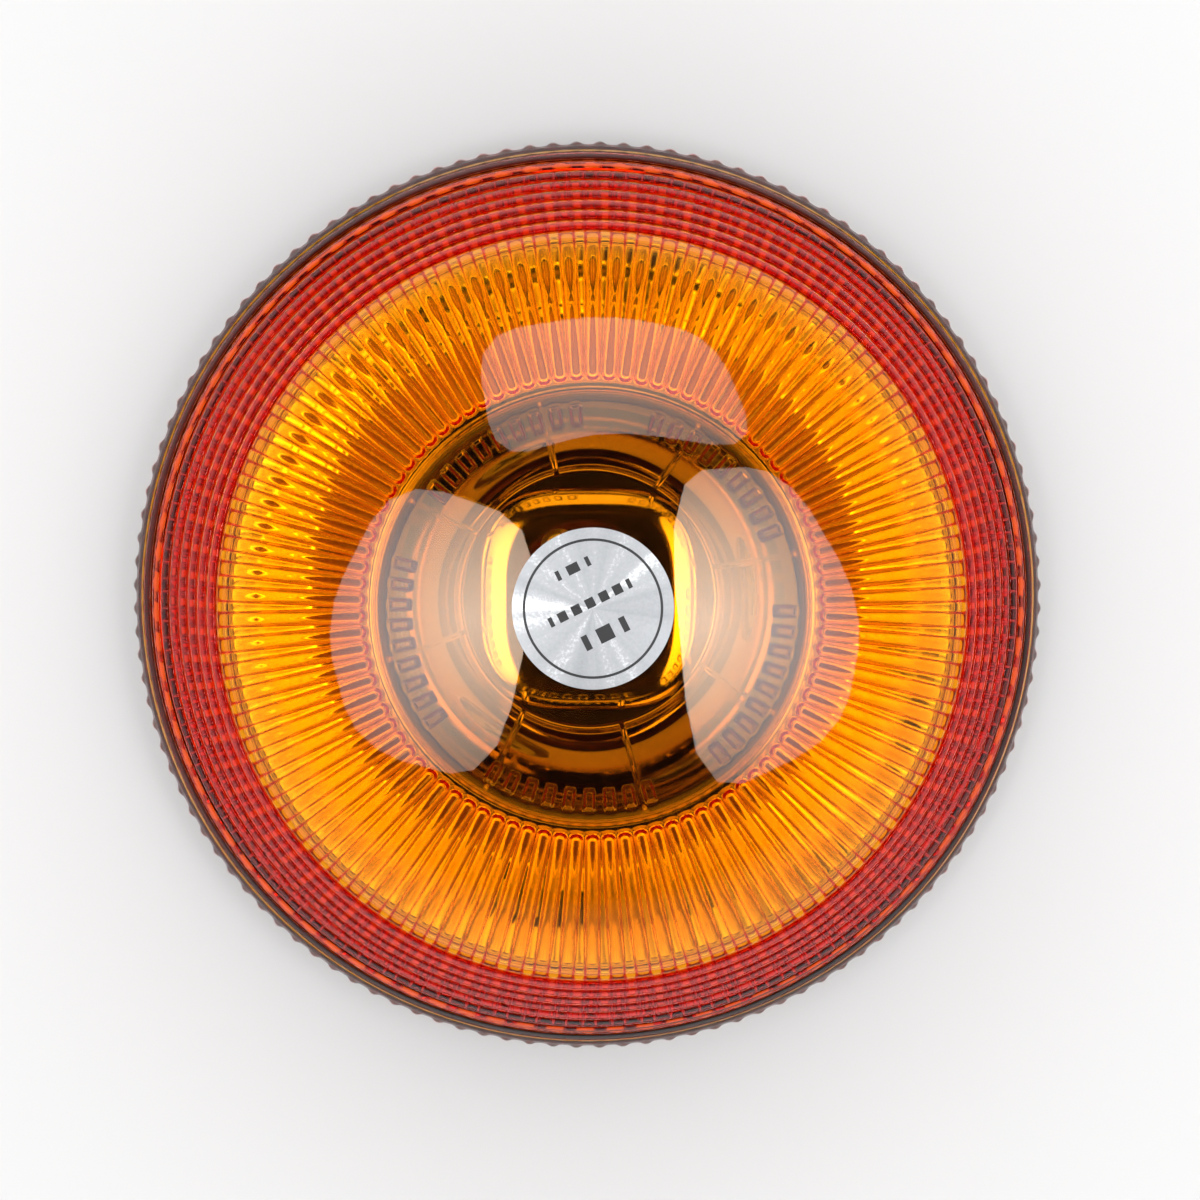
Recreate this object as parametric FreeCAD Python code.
"""Amber LED warning beacon with a twist-off dome, for three bolts on a flat roof.

Millimetres, +Z up. The origin is the centre of the gasket's underside, on the surface the beacon
is bolted to. The dome turns about +Z: it is locked as drawn, and free to lift after UNLOCK_DEG.
"""
import FreeCAD, Part
import math
import os

V = FreeCAD.Vector
UP = V(0, 0, 1)
CENTRE = V(0, 0, 0)

# Overall sizes
RIM_R = 67.9              # base rim, at the valleys of its knurl
CROWN_Z = 67.7            # top of the dome, without its label
GASKET_T = 2.0
RIM_TOP = 13.0            # top of the base rim
KNURL_COUNT = 120
KNURL_DEPTH = 0.5

# Three fixing bolts, M6
BOLT_PCD = 100.0
BOLT_HOLE_R = 3.3
BOLT_ANGLES = (90, 210, 330)

# Base tray
FLOOR_T = 2.5
BASE_BOTTOM = GASKET_T
FLOOR_TOP = BASE_BOTTOM + FLOOR_T
COLLAR_R = 62.5           # outside of the collar that carries the bayonet lugs
COLLAR_T = 2.5
COLLAR_TOP = 20.0
SLEEVE_R = 5.0
SLEEVE_TOP = 9.0
PRESS_GAP = 0.03          # radial room round a pressed or clipped piece
POCKET_COUNT = 12         # pockets that core out the base rim from below
POCKET_DEG = 28
FLOOR_RIB_COUNT = 6
FLOOR_RIB_IN_R = 11.0
FLOOR_RIB_T = 1.5
GROMMET_R = 7.0           # hole for the cable grommet
CABLE_R = 3.1
VENT_R = 22.0             # circle that the vent plug stands on
VENT_DEG = 75.0
VENT_HOLE_R = 4.0
ABOVE_ALL = 30.0          # cutters for the base's holes reach this high

# Bayonet: the dome's lugs turn in under the base's lugs
LUG_COUNT = 4
LUG_DEG = 14.0
BASE_LUG_DEG = 16.0
BASE_LUG_R = 64.6
BASE_LUG_BOTTOM = 17.2
UNLOCK_DEG = 20.0
STOP_GAP_DEG = 0.6
STOP_DEG = 1.6

# Seal between base and dome
SEAL_R = 66.3
SEAL_CORD_R = 0.8
SEAL_ROOM = 0.95          # half the width of its groove
SEAL_GROOVE_DEPTH = 1.4

# Dome
FLANGE_BOTTOM = RIM_TOP + 0.3
FLANGE_TOP = 16.8
FLANGE_R = 69.55
GRIP_DEPTH = 0.45
DOME_LUG_R = 62.9         # inner end of the dome's lugs
DOME_LUG_BOTTOM = 13.9
DOME_LUG_TOP = 16.7
SKIRT_IN_R = 65.2         # plain inner wall that passes over the base's lugs
SKIRT_TOP = 20.8
WALL_FOOT_R = 67.9
WALL_FOOT_Z = 17.6
SHOULDER_R = 53.3
SHOULDER_Z = 61.0
STEP_COUNT = 8            # stair steps up the outside of the wall
LEDGE_RUN = 1.45
LEDGE_RISE = 0.3
CAP_R = 52.4
CAP_EDGE_Z = 62.4
WALL_T = 2.2
FLUTE_COUNT = 90
FLUTE_DEPTH = 0.9
LABEL_R = 11.4
LABEL_T = 0.25
LABEL_GAP = 0.02

# Light engine
PLATE_R = 42.0
PLATE_BOTTOM = 19.0
PLATE_TOP = 23.0
LEG_R = 36.0              # circle of the three legs
LEG_ANGLES = (30, 150, 270)
LEG_RADIUS = 4.0
PAD_TOP = 6.5             # pads on the base floor that the legs stand on
LED_BOARD_R = 39.8
LED_BOARD_HOLE_R = 22.0
BOARD_T = 1.6
LED_COUNT = 16
LED_CIRCLE_R = 25.5
LED_SIDE = 3.5
LED_BODY_H = 0.9
LED_DOME_R = 1.4
BOARD_SCREW_R = 36.5
TRAY_IN_R = 32.5          # mirrored dish that fills the base round the LEDs
TRAY_EDGE_T = 1.2         # its thickness at the inner edge and under the screw heads
TRAY_FLAT_R = 42.0        # its underside is flat this far out
TRAY_BEND_R = 53.0
TRAY_BEND_H = 4.8         # height of the bend above the board
TRAY_LIP_R = 59.2
TRAY_LIP_H = 7.6
TRAY_T = 1.5
HORN_THROAT_R = 20.0
HORN_WAIST_R = 22.8
HORN_WAIST_Z = 42.0
HORN_RIM_R = 31.0
HORN_TOP = 60.8
HORN_T = 1.5
HORN_FLOOR_TOP = PLATE_TOP + 2.0
HORN_RIBS = 8
HORN_RIB_FIRST_DEG = 14.6
HORN_RIB_T = 0.9
HORN_RIB_PROUD = 0.9
HORN_PAD_SIDE = 33.0
HORN_PAD_CORNER_R = 12.0
HORN_PAD_H = 0.6
HORN_SCREW_R = 9.0
HORN_SCREW_ANGLES = (0, 120, 240)

# Driver electronics
BOSS_R = 33.0             # circle of the three board bosses
BOSS_OUT_R = 4.0
INSERT_R = 2.5
INSERT_WAIST_R = 2.1
DRIVER_R = 41.0
DRIVER_BOTTOM = 9.0
DRIVER_TOP = DRIVER_BOTTOM + BOARD_T
LINK_R = 30.0
LINK_DEG = 105.0
CAPACITOR_R = 4.0
CAPACITOR_H = 7.0
TERMINAL_XS = (-15.45, -10.35)
TERMINAL_Y = -22.0
TERMINAL_SCREW_R = 1.6
PIN_PITCH = 2.54
PIN_SIDE = 0.64
NOTCH_COUNT = 48          # notches round the heat sink's edge

# Fasteners
M3_HOLE_R = 1.5
M3_SHANK_R = 1.45
M3_CLEAR_R = 1.65
M3_SEAT_R = 3.1
M3_HEAD_R = 2.8
M3_HEAD_H = 2.0
M4_HOLE_R = 2.0
M4_SHANK_R = 1.95
M4_CLEAR_R = 2.25
M4_HEAD_R = 3.9

OVERLAP = 0.2             # how far a fused lug or rib reaches into its wall


def polar(radius, degrees, z=0.0):
    angle = math.radians(degrees)
    return V(radius * math.cos(angle), radius * math.sin(angle), z)


def cylinder(radius, bottom, top, place=CENTRE):
    return Part.makeCylinder(radius, top - bottom, V(place.x, place.y, bottom))


def tube(outer, inner, bottom, top, place=CENTRE):
    wall = cylinder(outer, bottom, top, place)
    return wall.cut(cylinder(inner, bottom - 1, top + 1, place))


def block(length, width, bottom, top, radius=0.0, degrees=0.0):
    """A box centred on a polar place, its length along the radius."""
    shape = Part.makeBox(length, width, top - bottom, V(radius - length / 2, -width / 2, bottom))
    shape.rotate(CENTRE, UP, degrees)
    return shape


def face_from(edges):
    return Part.Face(Part.Wire(edges))


def chain(points):
    """Straight edges through (radius, z) points in the XZ plane."""
    corners = [V(r, 0, z) for r, z in points]
    return [Part.LineSegment(a, b).toShape() for a, b in zip(corners, corners[1:])]


def arc(first, middle, last):
    places = [V(r, 0, z) for r, z in (first, middle, last)]
    return Part.Arc(*places).toShape()


def turned(points):
    """The solid that a closed outline of (radius, z) points sweeps about +Z."""
    return face_from(chain(points + points[:1])).revolve(CENTRE, UP, 360)


def sector(inner, outer, bottom, top, start_deg, sweep_deg):
    outline = [(inner, bottom), (outer, bottom), (outer, top), (inner, top), (inner, bottom)]
    shape = face_from(chain(outline)).revolve(CENTRE, UP, sweep_deg)
    shape.rotate(CENTRE, UP, start_deg)
    return shape


def spun(shape, degrees):
    copy = shape.copy()
    copy.rotate(CENTRE, UP, degrees)
    return copy


def around(shape, count, first_deg=0.0):
    return [spun(shape, first_deg + i * 360.0 / count) for i in range(count)]


def at_angles(shape, angles):
    return [spun(shape, angle) for angle in angles]


def fused(shapes):
    return shapes[0].multiFuse(shapes[1:]).removeSplitter()


def scalloped(valley_r, depth, count, bottom, top):
    """A disc whose edge is a ring of round bumps with plain valleys between them."""
    pitch = 360.0 / count
    edges = []
    for i in range(count):
        start = i * pitch
        foot_a, tip, foot_b = (start + pitch * f for f in (0.2, 0.5, 0.8))
        bump = (polar(valley_r, foot_a), polar(valley_r + depth, tip), polar(valley_r, foot_b))
        valley = (polar(valley_r, foot_b), polar(valley_r, start + pitch), polar(valley_r, foot_a + pitch))
        edges.append(Part.Arc(*bump).toShape())
        edges.append(Part.Arc(*valley).toShape())
    face = face_from(edges)
    face.translate(V(0, 0, bottom))
    return face.extrude(V(0, 0, top - bottom))


def fluted_wire(cusp_r, count, depth, z):
    """A closed outline of inward-bulging arcs that meet in cusps at cusp_r."""
    pitch = 360.0 / count
    edges = []
    for i in range(count):
        a, middle, b = (pitch * (i + f) for f in (0, 0.5, 1))
        tip = polar(cusp_r - depth, middle, z)
        edges.append(Part.Arc(polar(cusp_r, a, z), tip, polar(cusp_r, b, z)).toShape())
    return Part.Wire(edges)


def pan_screw(top_of_clamped, tip, radius, degrees):
    """An M3 pan-head screw with a cross recess, at a polar place."""
    shank = cylinder(M3_SHANK_R, tip, top_of_clamped + 0.1)
    head = turned([
        (0, top_of_clamped),
        (M3_HEAD_R, top_of_clamped),
        (M3_HEAD_R, top_of_clamped + 0.55 * M3_HEAD_H),
        (0.75 * M3_HEAD_R, top_of_clamped + M3_HEAD_H),
        (0, top_of_clamped + M3_HEAD_H),
    ])
    screw = fused([shank, head])
    recess_floor = top_of_clamped + 0.4 * M3_HEAD_H
    for turn in (0, 90):
        screw = screw.cut(block(2.8, 0.6, recess_floor, top_of_clamped + 9, 0, turn))
    screw.translate(polar(radius, degrees))
    return screw


# ---------------------------------------------------------------- base

def base_shell():
    edge = KNURL_DEPTH + 0.2
    rim = scalloped(RIM_R, KNURL_DEPTH, KNURL_COUNT, BASE_BOTTOM, RIM_TOP)
    rounding = turned([
        (0, BASE_BOTTOM),
        (RIM_R - 0.8, BASE_BOTTOM),
        (RIM_R + edge, BASE_BOTTOM + 1.4),
        (RIM_R + edge, RIM_TOP - 0.5),
        (RIM_R, RIM_TOP),
        (0, RIM_TOP),
    ])
    shell = rim.common(rounding)
    collar_in = COLLAR_R - COLLAR_T
    shell = shell.cut(cylinder(collar_in, FLOOR_TOP, RIM_TOP + 1))
    shell = shell.cut(tube(SEAL_R + SEAL_ROOM, SEAL_R - SEAL_ROOM, RIM_TOP - SEAL_GROOVE_DEPTH, RIM_TOP + 1))
    core = sector(COLLAR_R, RIM_R - 2.2, BASE_BOTTOM - 1, RIM_TOP - 3.8, 1, POCKET_DEG)
    for pocket in around(core, POCKET_COUNT):
        shell = shell.cut(pocket)
    adds = [shell, tube(COLLAR_R, collar_in, RIM_TOP - 1, COLLAR_TOP)]
    adds += bayonet_lugs()
    adds += at_angles(cylinder(SLEEVE_R + 2.5, BASE_BOTTOM, SLEEVE_TOP, V(BOLT_PCD / 2, 0, 0)), BOLT_ANGLES)
    adds += at_angles(cylinder(LEG_RADIUS + 1.5, BASE_BOTTOM, PAD_TOP, V(LEG_R, 0, 0)), LEG_ANGLES)
    adds += at_angles(cylinder(BOSS_OUT_R, BASE_BOTTOM, DRIVER_BOTTOM, V(BOSS_R, 0, 0)), BOLT_ANGLES)
    rib_middle_r = (collar_in + FLOOR_RIB_IN_R) / 2
    rib = block(collar_in - FLOOR_RIB_IN_R, FLOOR_RIB_T, BASE_BOTTOM, FLOOR_TOP + 2, rib_middle_r)
    adds += around(rib, FLOOR_RIB_COUNT)
    shell = fused(adds)
    holes = at_angles(cylinder(SLEEVE_R + PRESS_GAP, 0, ABOVE_ALL, V(BOLT_PCD / 2, 0, 0)), BOLT_ANGLES)
    holes += at_angles(cylinder(INSERT_R + PRESS_GAP, FLOOR_TOP, ABOVE_ALL, V(BOSS_R, 0, 0)), BOLT_ANGLES)
    holes += at_angles(cylinder(M4_CLEAR_R, 0, ABOVE_ALL, V(LEG_R, 0, 0)), LEG_ANGLES)
    holes += at_angles(countersink(), LEG_ANGLES)
    holes.append(cylinder(GROMMET_R + PRESS_GAP, 0, ABOVE_ALL))
    holes.append(cylinder(VENT_HOLE_R + PRESS_GAP, 0, ABOVE_ALL, polar(VENT_R, VENT_DEG)))
    for hole in holes:
        shell = shell.cut(hole)
    return shell


def countersink():
    room = 0.15
    cone = Part.makeCone(M4_HEAD_R + room, M4_SHANK_R + room, M4_HEAD_R - M4_SHANK_R,
                         V(LEG_R, 0, BASE_BOTTOM + 0.3))
    mouth = cylinder(M4_HEAD_R + room, 0, BASE_BOTTOM + 0.3, V(LEG_R, 0, 0))
    return cone.fuse(mouth)


def bayonet_lugs():
    """Four lugs on the collar, each with a stop for the locked and for the unlocked dome."""
    inner = COLLAR_R - OVERLAP
    half = LUG_DEG / 2
    locked_stop = -half - STOP_GAP_DEG - STOP_DEG
    free_stop = half + UNLOCK_DEG + STOP_GAP_DEG
    pieces = []
    for i in range(LUG_COUNT):
        middle = i * 360.0 / LUG_COUNT
        pieces.append(sector(inner, BASE_LUG_R, BASE_LUG_BOTTOM, COLLAR_TOP,
                             middle + locked_stop, BASE_LUG_DEG / 2 - locked_stop))
        pieces.append(sector(inner, BASE_LUG_R, RIM_TOP - OVERLAP, COLLAR_TOP, middle + locked_stop, STOP_DEG))
        pieces.append(sector(inner, BASE_LUG_R, RIM_TOP - OVERLAP, COLLAR_TOP, middle + free_stop, STOP_DEG))
    return pieces


def mounting_gasket():
    ring = tube(RIM_R - 0.9, 43.0, 0, GASKET_T)
    for hole in at_angles(cylinder(BOLT_HOLE_R, -1, GASKET_T + 1, V(BOLT_PCD / 2, 0, 0)), BOLT_ANGLES):
        ring = ring.cut(hole)
    return ring


def bolt_sleeves():
    sleeve = tube(SLEEVE_R, BOLT_HOLE_R, BASE_BOTTOM, SLEEVE_TOP, V(BOLT_PCD / 2, 0, 0))
    return Part.makeCompound(at_angles(sleeve, BOLT_ANGLES))


def cable_grommet():
    return turned([
        (CABLE_R, 0.5),
        (GROMMET_R + 1.8, 0.5),
        (GROMMET_R + 2.5, 1.2),
        (GROMMET_R + 2.5, BASE_BOTTOM),
        (GROMMET_R, BASE_BOTTOM),
        (GROMMET_R, FLOOR_TOP),
        (GROMMET_R + 2.0, FLOOR_TOP),
        (GROMMET_R + 0.6, FLOOR_TOP + 2.5),
        (CABLE_R, FLOOR_TOP + 2.5),
    ])


def vent_plug():
    plug = turned([
        (0, 2.6),
        (1.6, 2.6),
        (1.6, 1.0),
        (5.2, 1.0),
        (5.6, 1.4),
        (5.6, BASE_BOTTOM),
        (VENT_HOLE_R, BASE_BOTTOM),
        (VENT_HOLE_R, FLOOR_TOP),
        (VENT_HOLE_R + 0.5, FLOOR_TOP),
        (VENT_HOLE_R - 0.1, 6.2),
        (0, 6.2),
    ])
    plug.translate(polar(VENT_R, VENT_DEG))
    return plug


def lens_seal():
    middle_z = RIM_TOP - SEAL_GROOVE_DEPTH + SEAL_CORD_R + 0.02
    return Part.makeTorus(SEAL_R, SEAL_CORD_R, V(0, 0, middle_z), UP)


# ---------------------------------------------------------------- dome

def cap_z(radius, drop=0.0):
    """Height of the cap, a shallow round dome, at a radius."""
    rise = CROWN_Z - CAP_EDGE_Z
    ball_r = (CAP_R ** 2 + rise ** 2) / (2 * rise)
    return CROWN_Z - ball_r + math.sqrt(ball_r ** 2 - radius ** 2) - drop


def cap_arc(radius, drop=0.0):
    return arc((0, cap_z(0, drop)), (radius / 2, cap_z(radius / 2, drop)), (radius, cap_z(radius, drop)))


def stepped_wall():
    """The outside of the wall, from its foot to the shoulder, as (radius, z) points."""
    run = (WALL_FOOT_R - SHOULDER_R) / STEP_COUNT
    rise = (SHOULDER_Z - WALL_FOOT_Z) / STEP_COUNT
    points = []
    for i in range(STEP_COUNT):
        r = WALL_FOOT_R - i * run
        z = WALL_FOOT_Z + i * rise
        points.append((r, z))
        points.append((r - run + LEDGE_RUN, z + rise - LEDGE_RISE))
    points.append((SHOULDER_R, SHOULDER_Z))
    return points


def dome_outside():
    points = [(0, FLANGE_BOTTOM), (WALL_FOOT_R + 0.5, FLANGE_BOTTOM), (WALL_FOOT_R + 0.5, FLANGE_TOP)]
    points += stepped_wall()
    points.append((SHOULDER_R - 0.1, CAP_EDGE_Z - 0.5))
    points.append((CAP_R, CAP_EDGE_Z))
    edges = chain(points)
    edges.append(cap_arc(CAP_R))
    edges += chain([(0, CROWN_Z), (0, FLANGE_BOTTOM)])
    return face_from(edges).revolve(CENTRE, UP, 360)


def dome_flange():
    disc = scalloped(FLANGE_R, GRIP_DEPTH, KNURL_COUNT, FLANGE_BOTTOM, FLANGE_TOP)
    trim = turned([
        (0, FLANGE_BOTTOM),
        (FLANGE_R + GRIP_DEPTH + 0.1, FLANGE_BOTTOM),
        (FLANGE_R + GRIP_DEPTH + 0.1, FLANGE_TOP - 2.8),
        (FLANGE_R - 0.1, FLANGE_TOP - 1.6),
        (FLANGE_R - 0.6, FLANGE_TOP - 0.6),
        (FLANGE_R - 1.3, FLANGE_TOP),
        (0, FLANGE_TOP),
    ])
    return disc.common(trim)


def dome_cavity():
    """Everything the dome is hollow with: a plain skirt, a fluted wall and a smooth crown."""
    slope = (WALL_FOOT_R - SHOULDER_R) / (SHOULDER_Z - WALL_FOOT_Z)
    top_z = CAP_EDGE_Z - WALL_T
    low_r = WALL_FOOT_R - slope * (SKIRT_TOP - WALL_FOOT_Z) - WALL_T + FLUTE_DEPTH / 2
    high_r = WALL_FOOT_R - slope * (top_z - WALL_FOOT_Z) - WALL_T + FLUTE_DEPTH / 2
    low = fluted_wire(low_r, FLUTE_COUNT, FLUTE_DEPTH, SKIRT_TOP)
    high = fluted_wire(high_r, FLUTE_COUNT, FLUTE_DEPTH, top_z)
    wall = Part.makeLoft([low, high], True, True)
    skirt = cylinder(SKIRT_IN_R, FLANGE_BOTTOM - 1, SKIRT_TOP)
    crown_r = high_r - FLUTE_DEPTH
    crown_edges = [cap_arc(crown_r, WALL_T)]
    crown_edges += chain([(crown_r, cap_z(crown_r, WALL_T)), (crown_r, top_z - 1), (0, top_z - 1),
                          (0, cap_z(0, WALL_T))])
    crown = face_from(crown_edges).revolve(CENTRE, UP, 360)
    return wall.multiFuse([skirt, crown])


def dome_lens():
    body = dome_outside().fuse(dome_flange())
    body = body.cut(dome_cavity())
    lug = sector(DOME_LUG_R, SKIRT_IN_R + OVERLAP, DOME_LUG_BOTTOM, DOME_LUG_TOP, -LUG_DEG / 2, LUG_DEG)
    return fused([body] + around(lug, LUG_COUNT))


def label_disc():
    low = -LABEL_GAP
    high = -LABEL_GAP - LABEL_T
    edges = [cap_arc(LABEL_R, low)]
    edges += chain([(LABEL_R, cap_z(LABEL_R, low)), (LABEL_R, cap_z(LABEL_R, high))])
    edges.append(cap_arc(LABEL_R, high))
    edges += chain([(0, cap_z(0, high)), (0, cap_z(0, low))])
    return face_from(edges).revolve(CENTRE, UP, 360)


# ---------------------------------------------------------------- light engine

def heat_sink():
    plate = cylinder(PLATE_R, PLATE_BOTTOM, PLATE_TOP)
    notch = block(2.4, 1.8, PLATE_BOTTOM - 1, PLATE_TOP + 1, PLATE_R)
    for cut in around(notch, NOTCH_COUNT, 360.0 / NOTCH_COUNT / 2):
        plate = plate.cut(cut)
    legs = at_angles(cylinder(LEG_RADIUS, PAD_TOP, PLATE_BOTTOM + OVERLAP, V(LEG_R, 0, 0)), LEG_ANGLES)
    body = fused([plate] + legs)
    holes = at_angles(cylinder(M4_HOLE_R, PAD_TOP - 1, 15, V(LEG_R, 0, 0)), LEG_ANGLES)
    holes += at_angles(cylinder(M3_HOLE_R, PLATE_BOTTOM - 1, PLATE_TOP + 1, V(HORN_SCREW_R, 0, 0)), HORN_SCREW_ANGLES)
    holes += around(cylinder(M3_HOLE_R, PLATE_BOTTOM - 1, PLATE_TOP + 1, V(BOARD_SCREW_R, 0, 0)), 4, 45)
    holes.append(block(4.0, 10.0, PLATE_BOTTOM - 1, PLATE_TOP + 1, LINK_R, LINK_DEG))
    for hole in holes:
        body = body.cut(hole)
    return body


def heat_sink_screws():
    bottom = BASE_BOTTOM + 0.3
    head_h = M4_HEAD_R - M4_SHANK_R
    head = Part.makeCone(M4_HEAD_R, M4_SHANK_R, head_h, V(LEG_R, 0, bottom))
    shank = cylinder(M4_SHANK_R, bottom + head_h - 0.1, 14, V(LEG_R, 0, 0))
    screw = fused([head, shank])
    socket = Part.makeCylinder(1.2, 1.3, V(LEG_R, 0, bottom - 0.1))
    return Part.makeCompound(at_angles(screw.cut(socket), LEG_ANGLES))


def led_board():
    board = tube(LED_BOARD_R, LED_BOARD_HOLE_R, PLATE_TOP, PLATE_TOP + BOARD_T)
    for hole in around(cylinder(M3_CLEAR_R, PLATE_TOP - 1, PLATE_TOP + 5, V(BOARD_SCREW_R, 0, 0)), 4, 45):
        board = board.cut(hole)
    return board.cut(block(1.6, 8.4, PLATE_TOP - 1, PLATE_TOP + 5, LINK_R, LINK_DEG))


def led_packages():
    bottom = PLATE_TOP + BOARD_T
    package = block(LED_SIDE, LED_SIDE, bottom, bottom + LED_BODY_H, LED_CIRCLE_R)
    chamfer = block(1.0, 1.0, bottom - 1, bottom + 2)
    chamfer.rotate(CENTRE, UP, 45)
    chamfer.translate(V(LED_CIRCLE_R + LED_SIDE / 2, LED_SIDE / 2, 0))
    return Part.makeCompound(around(package.cut(chamfer), LED_COUNT, 360.0 / LED_COUNT / 2))


def led_domes():
    bottom = PLATE_TOP + BOARD_T + LED_BODY_H
    ball = Part.makeSphere(LED_DOME_R, V(LED_CIRCLE_R, 0, bottom))
    dome = ball.common(block(5, 5, bottom, bottom + 5, LED_CIRCLE_R))
    return Part.makeCompound(around(dome, LED_COUNT, 360.0 / LED_COUNT / 2))


def reflector_tray():
    bottom = PLATE_TOP + BOARD_T
    tray = turned([
        (TRAY_IN_R, bottom),
        (TRAY_FLAT_R, bottom),
        (TRAY_BEND_R, bottom + TRAY_BEND_H - TRAY_T),
        (TRAY_LIP_R, bottom + TRAY_LIP_H - 1.0),
        (TRAY_LIP_R - 0.7, bottom + TRAY_LIP_H),
        (TRAY_BEND_R, bottom + TRAY_BEND_H),
        (TRAY_IN_R, bottom + TRAY_EDGE_T),
    ])
    hole = cylinder(M3_CLEAR_R, bottom - 1, bottom + 9, V(BOARD_SCREW_R, 0, 0))
    seat = cylinder(M3_SEAT_R, bottom + TRAY_EDGE_T, bottom + 9, V(BOARD_SCREW_R, 0, 0))
    for cut in around(hole.fuse(seat), 4, 45):
        tray = tray.cut(cut)
    return tray


def led_board_screws():
    top = PLATE_TOP + BOARD_T + TRAY_EDGE_T
    screws = [pan_screw(top, PLATE_BOTTOM + 0.5, BOARD_SCREW_R, 45 + 90 * i) for i in range(4)]
    return Part.makeCompound(screws)


def horn_wall(inner_offset, outer_offset):
    """The trumpet-shaped wall between two radial offsets from the horn's inner face."""
    def bell(offset):
        return [
            (HORN_THROAT_R + offset, HORN_FLOOR_TOP - 1),
            (HORN_WAIST_R + offset, HORN_WAIST_Z),
            (HORN_RIM_R + offset, HORN_TOP),
        ]
    inner = bell(inner_offset)
    outer = bell(outer_offset)
    edges = [arc(*inner)]
    edges += chain([inner[-1], outer[-1]])
    edges.append(arc(*outer))
    edges += chain([outer[0], inner[0]])
    return face_from(edges).revolve(CENTRE, UP, 360)


def rounded_square(side, corner_r, bottom, top):
    solid = Part.makeBox(side, side, top - bottom, V(-side / 2, -side / 2, bottom))
    uprights = [e for e in solid.Edges if abs(e.tangentAt(e.FirstParameter).z) > 0.9]
    return solid.makeFillet(corner_r, uprights)


def horn_reflector():
    wall = horn_wall(0, HORN_T)
    floor = cylinder(HORN_THROAT_R + HORN_T, PLATE_TOP, HORN_FLOOR_TOP)
    pad = rounded_square(HORN_PAD_SIDE, HORN_PAD_CORNER_R, HORN_FLOOR_TOP - OVERLAP, HORN_FLOOR_TOP + HORN_PAD_H)
    rib_band = horn_wall(-HORN_RIB_PROUD, HORN_T / 2)
    rib_slab = block(30, HORN_RIB_T, HORN_FLOOR_TOP - OVERLAP, HORN_TOP - 0.6, HORN_RIM_R)
    rib = rib_band.common(rib_slab)
    horn = fused([wall, floor, pad] + around(rib, HORN_RIBS, HORN_RIB_FIRST_DEG))
    for hole in at_angles(cylinder(M3_CLEAR_R, PLATE_TOP - 1, 40, V(HORN_SCREW_R, 0, 0)), HORN_SCREW_ANGLES):
        horn = horn.cut(hole)
    return horn


def horn_screws():
    top = HORN_FLOOR_TOP + HORN_PAD_H
    return Part.makeCompound([pan_screw(top, PLATE_BOTTOM + 0.5, HORN_SCREW_R, a) for a in HORN_SCREW_ANGLES])


# ---------------------------------------------------------------- driver electronics

def driver_board():
    board = cylinder(DRIVER_R, DRIVER_BOTTOM, DRIVER_TOP)
    cuts = at_angles(cylinder(LEG_RADIUS + 0.6, 0, 30, V(LEG_R, 0, 0)), LEG_ANGLES)
    cuts += at_angles(block(8, 2 * LEG_RADIUS + 1.2, 0, 30, LEG_R + 4), LEG_ANGLES)
    cuts += at_angles(cylinder(M3_CLEAR_R, 0, 30, V(BOSS_R, 0, 0)), BOLT_ANGLES)
    for cut in cuts:
        board = board.cut(cut)
    return board


def board_inserts():
    insert = turned([
        (M3_HOLE_R, FLOOR_TOP),
        (INSERT_R, FLOOR_TOP),
        (INSERT_R, FLOOR_TOP + 1.5),
        (INSERT_WAIST_R, FLOOR_TOP + 1.8),
        (INSERT_WAIST_R, FLOOR_TOP + 2.7),
        (INSERT_R, FLOOR_TOP + 3.0),
        (INSERT_R, DRIVER_BOTTOM),
        (M3_HOLE_R, DRIVER_BOTTOM),
    ])
    insert.translate(V(BOSS_R, 0, 0))
    return Part.makeCompound(at_angles(insert, BOLT_ANGLES))


def board_screws():
    return Part.makeCompound([pan_screw(DRIVER_TOP, FLOOR_TOP + 1, BOSS_R, a) for a in BOLT_ANGLES])


def filter_capacitors():
    can = turned([
        (0, DRIVER_TOP),
        (CAPACITOR_R, DRIVER_TOP),
        (CAPACITOR_R, DRIVER_TOP + 0.9),
        (CAPACITOR_R - 0.3, DRIVER_TOP + 1.2),
        (CAPACITOR_R, DRIVER_TOP + 1.5),
        (CAPACITOR_R, DRIVER_TOP + CAPACITOR_H - 0.3),
        (CAPACITOR_R - 0.4, DRIVER_TOP + CAPACITOR_H),
        (0, DRIVER_TOP + CAPACITOR_H),
    ])
    can.translate(V(25, 0, 0))
    return Part.makeCompound(at_angles(can, (-24, 0, 24)))


def storage_inductor():
    choke = Part.makeTorus(5.0, 2.6, V(-15, 12, DRIVER_TOP + 2.6), UP)
    flat = Part.makeBox(20, 20, 5, V(-25, 2, DRIVER_TOP + 0.2))
    foot = cylinder(5.5, DRIVER_TOP, DRIVER_TOP + 0.6, V(-15, 12, 0))
    return fused([choke.common(flat), foot])


def driver_chips():
    places = ((8, 14), (8, 4), (-2, 24), (-24, -6))
    return Part.makeCompound([
        Part.makeBox(5.0, 4.0, 1.5, V(x, y, DRIVER_TOP)) for x, y in places
    ])


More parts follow.
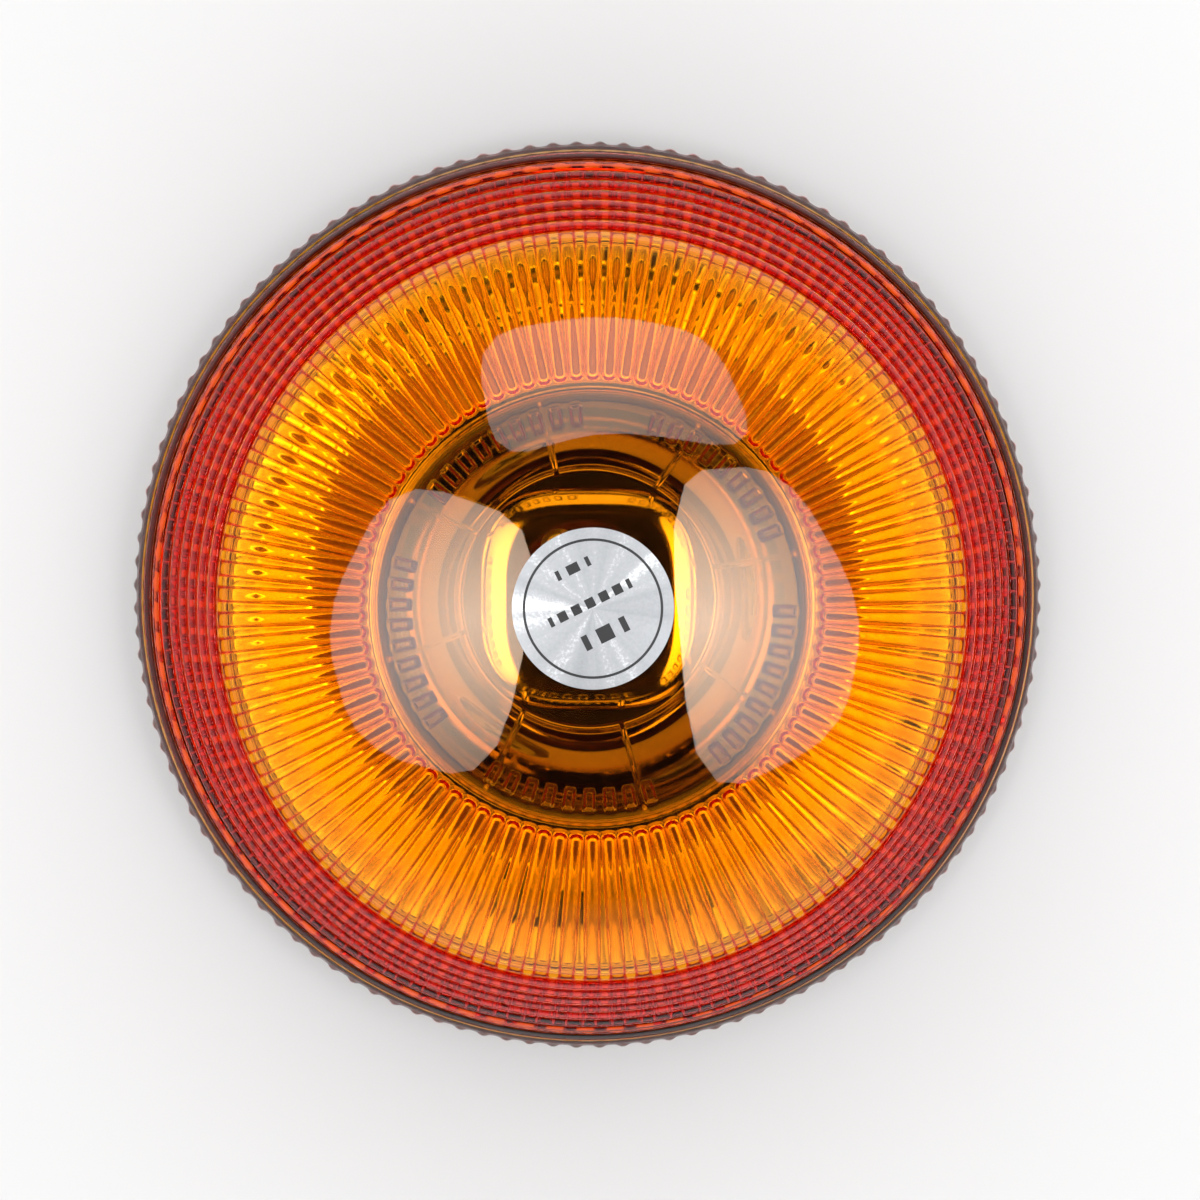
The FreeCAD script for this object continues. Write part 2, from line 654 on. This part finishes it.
def power_diodes():
    places = ((-4, -6), (4, -6), (12, -14))
    return Part.makeCompound([
        Part.makeBox(4.3, 3.6, 2.3, V(x, y, DRIVER_TOP)) for x, y in places
    ])


def input_terminal():
    body = Part.makeBox(10.2, 8.0, 7.6, V(-18, -26, DRIVER_TOP))
    for x in TERMINAL_XS:
        body = body.cut(Part.makeCylinder(1.6, 5, V(x, TERMINAL_Y - 5, DRIVER_TOP + 3), V(0, 1, 0)))
        body = body.cut(Part.makeCylinder(TERMINAL_SCREW_R + 0.1, 3, V(x, TERMINAL_Y, DRIVER_TOP + 5.6), UP))
    return body


def terminal_screws():
    screws = []
    for x in TERMINAL_XS:
        screw = Part.makeCylinder(TERMINAL_SCREW_R, 1.6, V(x, TERMINAL_Y, DRIVER_TOP + 5.6), UP)
        slot = Part.makeBox(4, 0.5, 1, V(x - 2, TERMINAL_Y - 0.25, DRIVER_TOP + 6.6))
        screws.append(screw.cut(slot))
    return Part.makeCompound(screws)


def board_link():
    header = block(2.5, 7.6, DRIVER_TOP, DRIVER_TOP + 2.5, LINK_R, LINK_DEG)
    pins = []
    for offset in (-PIN_PITCH, 0, PIN_PITCH):
        corner = V(LINK_R - PIN_SIDE / 2, offset - PIN_SIDE / 2, DRIVER_TOP + 2)
        pin = Part.makeBox(PIN_SIDE, PIN_SIDE, 14, corner)
        pins.append(spun(pin, LINK_DEG))
    return fused([header] + pins)


NODES = (
    base_shell,
    mounting_gasket,
    bolt_sleeves,
    cable_grommet,
    vent_plug,
    lens_seal,
    dome_lens,
    label_disc,
    heat_sink,
    heat_sink_screws,
    led_board,
    led_packages,
    led_domes,
    reflector_tray,
    led_board_screws,
    horn_reflector,
    horn_screws,
    driver_board,
    board_inserts,
    board_screws,
    filter_capacitors,
    storage_inductor,
    driver_chips,
    power_diodes,
    input_terminal,
    terminal_screws,
    board_link,
)

os.makedirs("parts", exist_ok=True)
for make in NODES:
    shape = make()
    shape.exportStep("parts/" + make.__name__ + ".step")
    print(f"{make.__name__}: solids {len(shape.Solids)} valid {shape.isValid()} volume {shape.Volume:.0f}")
